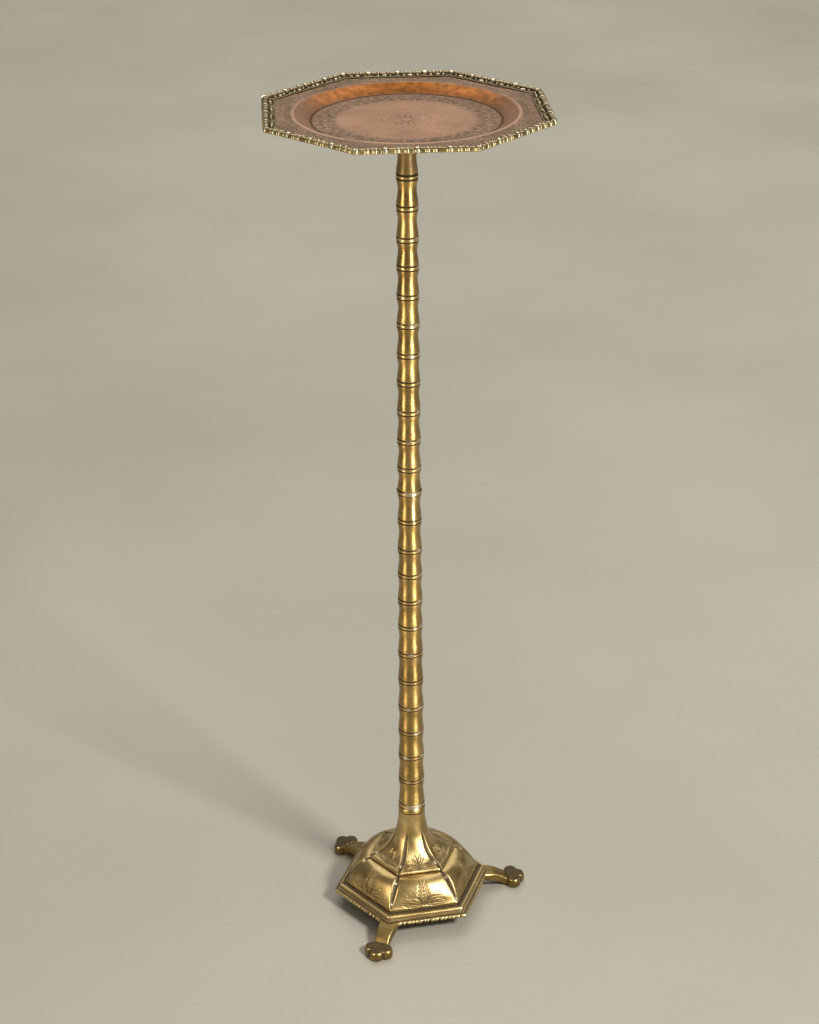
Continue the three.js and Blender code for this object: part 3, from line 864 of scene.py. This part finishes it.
def leaf_shaped(share, power):
    """How wide a groove is along its run: it opens from a point and closes again."""
    share = np.clip(share, 0, 1)
    return np.sin(math.pi * share**power) ** 0.7


def bell(material):
    upper = spline(PETALS, 0.72)
    lower = spline(PANELS, 0.72)
    outline = np.vstack([upper, lower[1:], [(75.8, BELL_LOW, 1)]])
    columns = 6 * 92
    angle = all_round(columns)
    radius, height, share = (outline[:, i : i + 1] for i in range(3))
    share = np.clip(share, 0, 1)
    reach = radius * (1 - share + share * six_sided(angle))
    grid = polar(reach, angle, height)
    steps = np.linalg.norm(np.diff(outline[:, :2], axis=0), axis=1)
    run = np.hstack([0, np.cumsum(steps)])[:, None]
    lip_row = len(upper) - 1
    lip_run = run[lip_row] - 4.2
    rim_run = run[-2]
    is_upper = (np.arange(len(outline)) <= lip_row)[:, None]

    # V grooves run down the corners of both tiers and nearly meet at the lip's corner.
    from_corner = nearest_turn(angle, SIDE / 2, SIDE) * radius
    start_run = run[np.argmax(height < 97)]
    swell_upper = 0.15 + 0.85 * leaf_shaped((run - start_run) / (lip_run + 3 - start_run), 1.6)
    swell_upper *= soft(run - start_run + 1, 4)
    swell_lower = 0.15 + 0.85 * leaf_shaped((run - run[lip_row]) / (rim_run - run[lip_row]), 0.85)
    swell = np.where(is_upper, swell_upper, swell_lower * soft(rim_run - run - 1, 4))
    half = 0.7 + 2.8 * swell
    inside = np.clip(1 - np.abs(from_corner) / half, 0, 1)
    sink = 2.6 * swell * inside

    from_middle = nearest_turn(angle, 0, SIDE) * reach
    cut = np.zeros_like(reach)
    on_petals, on_panels = slice(lip_row), slice(lip_row + 2, None)
    for rows, end_run, cuts in ((on_petals, lip_run, petal_cuts()), (on_panels, rim_run, panel_cuts())):
        across = from_middle[rows]
        cut[rows] = depth_in(cuts, across, end_run - run[rows] + 0 * across)
    dents = 0.22 * np.sin(5 * angle + height / 7) * np.sin(height / 9 + 2 * angle)
    dents *= soft(105 - height, 20) * soft(height - 31, 6)
    grid = sunk(grid, sink + 0.48 * soft(cut * 1.4) + dents)

    # Painted shade in the crease under the petals' lip.
    under_lip_shade = hump(run - run[lip_row] - 0.3, 1.9)
    grime_and_shade = np.clip(0.93 * soft(inside * 2.4) * soft(swell * 3) + under_lip_shade + 0.92 * soft(cut * 1.5), 0, 1)
    grime_and_shade = np.maximum(grime_and_shade, 0.75 * hump(height - BELL_LOW, 1.2) + 0.5 * hump(height - BELL_HIGH, 1.4))
    # Painted highlights on the lip, the rim, the grooves' edges and the cuts' edges, with some rubbing.
    lip = hump(run - lip_run, 2.2)
    rim = hump(run - rim_run + 1.4, 1.6)
    cut_edge = soft(cut * 3) * (1 - soft(cut * 2.2))
    corner_edge = hump(np.abs(from_corner) - half - 0.3, 0.8) * soft(swell * 2)
    wear_and_highlight = 0.35 * corner_edge + 0.7 * lip + 0.7 * rim + 0.9 * cut_edge - grime_and_shade

    within = np.array([(r, BELL_LOW + z, s) for r, z, s in BELL_INSIDE])
    inner_reach = within[:, :1] * (1 - within[:, 2:] + within[:, 2:] * six_sided(angle))
    grid = np.vstack([grid, polar(inner_reach, angle, within[:, 1:2])])
    inside_marks = np.zeros_like(inner_reach)
    # Pale solder fills a few spots in the corner grooves.
    solder_and_glint = np.zeros_like(reach)
    for corner in range(6):
        here = hump(nearest_turn(angle, SIDE / 2 + corner * SIDE), 0.12) * soft(inside * 1.6)
        for place_run in (lip_run - 9, lip_run + 14, rim_run - 7):
            size = uniform(1.5, 3.5)
            at = place_run + uniform(-2, 2)
            solder_and_glint = np.maximum(solder_and_glint, uniform(0.1, 0.9) * here * hump(run - at, size))
    marks = {
        "grime_and_shade": np.vstack([grime_and_shade * (1 - 0.8 * solder_and_glint), inside_marks + 0.5]),
        "wear_and_highlight": np.vstack([wear_and_highlight, inside_marks]),
        "solder_and_glint": np.vstack([solder_and_glint, inside_marks]),
    }
    piece = grid_mesh("bell_cast", grid, marks, sharp_degrees=60)
    place(piece, "aged_brass", material, "bell")


# ---- plinth ----


def plinth(material):
    columns = 6 * 132
    angle = all_round(columns)
    low, high = span("plinth")
    bead_line = [(81, high), (82.9, high - 0.15), (84.1, high - 1.1), (84, high - 2.4), (83, high - 3.1)]
    cove_line = [bead_line[-1], (82.4, high - 3.9), (82.9, high - 4.7), (84.6, high - 5.5), (87.6, high - 6)]
    edge_line = [cove_line[-1], (89.2, high - 6.6), (89.8, high - 7.6), (89.7, low + 1.3), (88.4, low + 0.1)]
    outline = np.vstack([
        spline([(58, high), (72, high), bead_line[0]], 4)[:-1],
        spline(bead_line, 0.45)[:-1],
        spline(cove_line, 0.5)[:-1],
        spline([*edge_line, (86.9, low)], 0.4),
        [(84.5, low), (81.5, low), (80, high - 3), (58, high - 3)],
    ])
    radius, height = outline[:, :1], outline[:, 1:]
    # The outer corners are a little rounded.
    corner = hump(nearest_turn(angle, SIDE / 2, SIDE) * radius, 2.2)
    radius = radius - 0.5 * corner * (radius > 78)

    # The lowest edge is bitten at uneven steps, like worn beading.
    side_place = nearest_turn(angle, 0, SIDE) * 89
    number = np.floor((angle + SIDE / 2) / SIDE).astype(int) % 6
    bite = np.zeros(columns)
    for side in range(6):
        for i in range(-8, 9):
            at = i * 5.2 + uniform(-1.3, 1.3)
            width = uniform(0.8, 2.3)
            strength = uniform(0.15, 1.0)
            bite = np.maximum(bite, strength * hump(side_place - at, width) * (number == side))
    edge = soft(radius - 86.2, 2.4) * soft(low + 4.6 - height, 2.2)
    radius = radius - 1.9 * bite * edge
    height = height + 1.5 * bite * edge * soft(low + 3 - height, 2)

    # Each leg passes through a square notch in the moulding.
    across = np.full(columns, 1e9)
    for leg_angle in LEG_ANGLES:
        away = nearest_turn(angle, leg_angle)
        here = np.where(np.abs(away) < SIDE / 2, np.abs(np.sin(away)) * 86, 1e9)
        across = np.minimum(across, here)
    notched = (across < 10.8)[None] & (height < low + 4.5) & (radius > 70)
    radius = np.where(notched, np.minimum(radius, 85.3), radius)
    height = np.where(notched, low + 4.5, height)

    grid = polar(radius * six_sided(angle), angle, height)
    # Painted highlights on the bead and the lowest edge. Painted shade in the gap under the bell's rim, in
    # the cove, on the flat ledge and in the bites.
    bead = hump(height - high + 1.2, 1.5) * soft(radius - 82, 1.2)
    rim_gap_shade = soft(82.2 - radius, 1.5) * (height > high - 0.5)
    cove_shade = hump(height - high + 4.2, 1.5) * (radius < 86) * (radius > 81.9)
    ledge_shade = soft(radius - 84.5, 1.5) * soft(88.4 - radius, 0.8) * soft(height - low - 3.2, 0.9)
    low_edge_highlight = 0.95 * soft(radius - 87.6, 0.9) * soft(height - low - 1.4, 0.8) * (1 - bite)
    grime_and_shade = np.clip(rim_gap_shade + 0.7 * cove_shade + ledge_shade + 2.2 * bite * edge, 0, 1)
    grime_and_shade = np.maximum(grime_and_shade, 0.8 * (radius < 84) * (height < high - 2.9))
    marks = {"grime_and_shade": grime_and_shade, "wear_and_highlight": bead + low_edge_highlight - grime_and_shade}
    piece = grid_mesh("plinth_cast", grid, marks, sharp_degrees=55)
    place(piece, "aged_brass", material, "plinth")


# ---- legs ----

ARM_TOP = [
    (71.3, 20.2), (80, 20.2), (86, 20.0), (93, 18.9), (100, 16.3), (105, 13.3), (109, 10.3), (112.5, 8.8),
    (118, 8.6),
]
ARM_BOTTOM = [(71.3, 16.4), (84, 11.5), (100, 5.5), (108, 0.6), (118, 0.6)]
ARM_HALF = [(71.3, 10.5), (82, 10.5), (89, 9.9), (95, 8.9), (101, 8.0), (106, 7.9), (112, 8.6), (118, 8.6)]
PAD_X = 120.5
PAD_TOP = 10.8
TOE = 7.8


def follow(points, x):
    xs, values = zip(*points)
    return float(np.interp(x, xs, values))


def capped(points, per):
    """A stack of rings of points, closed at both ends, as points and faces."""
    count = len(points)
    ends = [list(range(per)), list(range(count - per, count))]
    return points, ends + grid_faces(count // per, per)


def add_shape(shape, points, faces):
    verts = [shape.verts.new(Vector(p)) for p in points]
    for face in faces:
        shape.faces.new([verts[i] for i in face])


def arm_sections():
    """The arm as rounded sections along +X, as points and faces."""
    corner_steps = 5
    points = []
    for x in np.linspace(ARM_TOP[0][0], ARM_TOP[-1][0], 48):
        top, bottom, half = (follow(line, x) for line in (ARM_TOP, ARM_BOTTOM, ARM_HALF))
        soften = min(1.9, (top - bottom) / 2.2)
        for sign_y, sign_z, start in ((1, 1, 0), (-1, 1, 90), (-1, -1, 180), (1, -1, 270)):
            centre_y = sign_y * (half - soften)
            centre_z = (top if sign_z > 0 else bottom) - sign_z * soften
            for i in range(corner_steps):
                turn = math.radians(start + 90 * i / (corner_steps - 1))
                points.append((x, centre_y + soften * math.cos(turn), centre_z + soften * math.sin(turn)))
    return capped(points, 4 * corner_steps)


def turned_shape(outline, x, y, steps=40):
    """A solid turned about a vertical line, as points and faces."""
    points = [(x + r * math.cos(i * TURN / steps), y + r * math.sin(i * TURN / steps), z)
              for r, z in outline for i in range(steps)]
    return capped(points, steps)


def leg_mesh():
    """One leg along +X: arm, screw tab and three toes melted into one casting."""
    shape = bmesh.new()
    add_shape(shape, *arm_sections())
    tab = [(x, y, z) for z in (16.5, 23.2) for x, y in ((56, -8), (74, -8), (74, 8), (56, 8))]
    add_shape(shape, *capped(tab, 4))
    toe_outline = [
        (TOE - 1.9, 0), (TOE - 0.7, 0.5), (TOE - 0.1, 2), (TOE, 5), (TOE - 0.2, 8), (TOE - 0.8, 10),
        (TOE - 1.6, PAD_TOP),
    ]
    for x, y in ((PAD_X + 2.8, 0), (PAD_X - 3.5, 8), (PAD_X - 3.5, -8)):
        add_shape(shape, *turned_shape(toe_outline, x, y))
    add_shape(shape, *turned_shape([(7, 2), (7, PAD_TOP)], PAD_X - 2.4, 0))
    bmesh.ops.recalc_face_normals(shape, faces=shape.faces)
    bmesh.ops.scale(shape, vec=(MM, MM, MM), verts=shape.verts)
    mesh = bpy.data.meshes.new("leg_blank")
    shape.to_mesh(mesh)
    shape.free()
    blank = add_object("leg_blank", mesh)
    melt = blank.modifiers.new("melt", "REMESH")
    melt.mode = "VOXEL"
    melt.voxel_size = 0.42 * MM
    ease = blank.modifiers.new("ease", "SMOOTH")
    ease.factor = 0.5
    ease.iterations = 5
    graph = bpy.context.evaluated_depsgraph_get()
    melted = bpy.data.meshes.new_from_object(blank.evaluated_get(graph))
    bpy.data.objects.remove(blank)
    return melted


def vertex_values(mesh, name):
    values = np.zeros(len(mesh.vertices) * 3)
    mesh.vertices.foreach_get(name, values)
    return values.reshape(-1, 3)


def legs(material):
    melted = leg_mesh()
    points = vertex_values(melted, "co") / MM
    points[:, 2] = np.clip(points[:, 2], 0, None)
    up = vertex_values(melted, "normal")[:, 2]
    faces = [list(face.vertices) for face in melted.polygons]
    x, y, z = points.T
    # Patina on the pads' tops, with painted shade there and on the arms' tops; a painted shadow in the
    # valley behind each pad; painted shade on undersides and in the notches between the toes.
    pad_top_patina_and_shade = soft(x - 108.5, 1.5) * soft(z - PAD_TOP + 1.3, 0.7) * soft(up - 0.8, 0.15)
    valley_shadow = hump(x - 110, 2.6) * soft(up - 0.2, 0.4) * (z > 7) * (z < PAD_TOP - 0.4)
    underside_shade = soft(-up - 0.2, 0.4)
    toe_notch_shade = hump(np.hypot(x - 124.4, np.abs(y) - 7.6), 3.8) * soft(PAD_TOP - 0.4 - z, 0.8)
    arm_top_shade = soft(up - 0.75, 0.2) * soft(98 - x, 6)
    grime_and_shade = np.clip(0.88 * pad_top_patina_and_shade + 0.95 * valley_shadow + 0.8 * underside_shade + 1.3 * toe_notch_shade + 0.3 * arm_top_shade, 0, 1)
    # A painted highlight on faces that slope upwards.
    wear_and_highlight = 0.75 * hump(up - 0.62, 0.34) * (up > 0) - grime_and_shade
    for i, angle in enumerate(LEG_ANGLES):
        turn = np.array(Matrix.Rotation(angle, 3, "Z"))
        name = f"leg_{i + 1}"
        piece = finish_mesh(name + "_cast", points @ turn.T, faces, {"grime_and_shade": grime_and_shade, "wear_and_highlight": wear_and_highlight}, 180)
        place(piece, "leg_brass", material, name)


# ---- stage ----


def stage(material):
    """A pale floor that turns up into a low wall far from the stand, all round."""
    rise = [(7, 0), (8.2, 0.12), (9.0, 0.5), (9.4, 1.2), (9.5, 2.2), (9.5, 3.4)]
    outline = np.vstack([[(0, 0), (0.4, 0), (2, 0), (5, 0)], spline(rise, 0.25)])
    angle = all_round(96)
    grid = polar(outline[:, :1], angle, outline[:, 1:]) / MM
    floor = finish_mesh("floor", grid, grid_faces(*grid.shape[:2]), {}, 180)
    floor.data.flip_normals()
    floor.data.materials.append(material)


def softbox(name, degrees, distance, height, size, watts, colour, aim_height):
    """An area light that stands some degrees round from the camera and faces the stem's axis."""
    light = bpy.data.lights.new(name, "AREA")
    light.shape = "RECTANGLE"
    light.size, light.size_y = size
    light.energy = watts
    light.color = colour
    lamp = add_object(name, light)
    direction = VIEW_FROM + math.radians(degrees)
    lamp.location = (distance * math.cos(direction), distance * math.sin(direction), height)
    look = Vector((0, 0, aim_height)) - lamp.location
    lamp.rotation_euler = look.to_track_quat("-Z", "Y").to_euler()
    lamp.visible_camera = False


def lights():
    white, warm, daylight = (1.0, 0.97, 0.90), (1.0, 0.88, 0.70), (1.0, 0.985, 0.95)
    # Degrees from the camera, distance, height, size, watts, colour and the height it faces.
    softbox("right_box", 42, 1.7, 1.05, (0.42, 2.0), 16, white, 0.6)
    softbox("right_low_box", 42, 1.15, 0.55, (0.28, 1.0), 14, white, 0.5)
    softbox("left_box", -50, 1.8, 1.1, (0.42, 2.1), 18, warm, 0.7)
    softbox("left_low_box", -50, 1.2, 0.6, (0.28, 1.1), 6.5, warm, 0.5)
    # These three face straight down.
    softbox("back_overhead", 178, 4.0, 5.0, (4.8, 5.0), 152, daylight, -400.0)
    softbox("right_overhead_box", 55, 3.7, 4.0, (2.1, 2.1), 228, daylight, -400.0)
    softbox("floor_key", 45, 3.9, 3.8, (1.0, 1.0), 262, daylight, -400.0)
    world = bpy.data.worlds.new("studio")
    world.use_nodes = True
    background = world.node_tree.nodes["Background"]
    background.inputs["Color"].default_value = (0.95, 0.94, 0.88, 1)
    background.inputs["Strength"].default_value = 0.28
    scene.world = world
    scene.view_settings.view_transform = "Standard"


def share_out_the_lights():
    """The boxes draw streaks on the metal only, and the key light throws the shadows on the floor."""
    stand, ground = (bpy.data.collections.new(name) for name in ("stand", "ground"))
    for piece in scene.objects:
        if piece.type == "MESH":
            (ground if piece.name == "floor" else stand).objects.link(piece)
    for lamp in scene.objects:
        if lamp.name.endswith("box"):
            lamp.light_linking.receiver_collection = stand
        elif lamp.name.endswith("key"):
            lamp.light_linking.receiver_collection = ground


def camera():
    data = bpy.data.cameras.new("camera")
    data.lens = CAMERA_LENS
    heading = VIEW_FROM + math.pi
    level = math.cos(CAMERA_PITCH)
    forward = Vector((math.cos(heading) * level, math.sin(heading) * level, math.sin(CAMERA_PITCH)))
    right = forward.cross(Vector((0, 0, 1))).normalized()
    up = right.cross(forward)
    basis = Matrix.Rotation(CAMERA_ROLL, 3, forward) @ Matrix((right, up, -forward)).transposed()
    eye = add_object("camera", data)
    spot = (CAMERA_DISTANCE * math.cos(VIEW_FROM), CAMERA_DISTANCE * math.sin(VIEW_FROM), CAMERA_HEIGHT)
    eye.matrix_world = Matrix.Translation(Vector(spot) * MM) @ basis.to_4x4()
    scene.camera = eye


# ---- assembly ----


def main():
    camera()
    lights()
    stage(pale_floor())
    cast = aged_brass("cast_brass", CAST_TONES, 0.33)
    turned = aged_brass("turned_brass", TURNED_TONES, 0.36, turned=True)
    border = aged_brass("border_brass", BORDER_TONES, 0.31, wear_and_highlight_tint=BORDER_WEAR_AND_HIGHLIGHT)
    leg = aged_brass("leg_brass", LEG_TONES, 0.36, coat=0.08)
    tray_pan(aged_copper())
    for number in range(1, 9):
        border_strip(number, border)
    tray_boss(turned)
    stem(turned)
    neck_collar(turned)
    bell(cast)
    plinth(cast)
    legs(leg)
    steel = dull_steel()
    for name, node in frame["nodes"].items():
        if name.startswith(("tie_rod", "rod_", "leg_screw")):
            node.data.materials.clear()
            node.data.materials.append(leg if name.startswith("leg_screw") else steel)
    share_out_the_lights()


main()
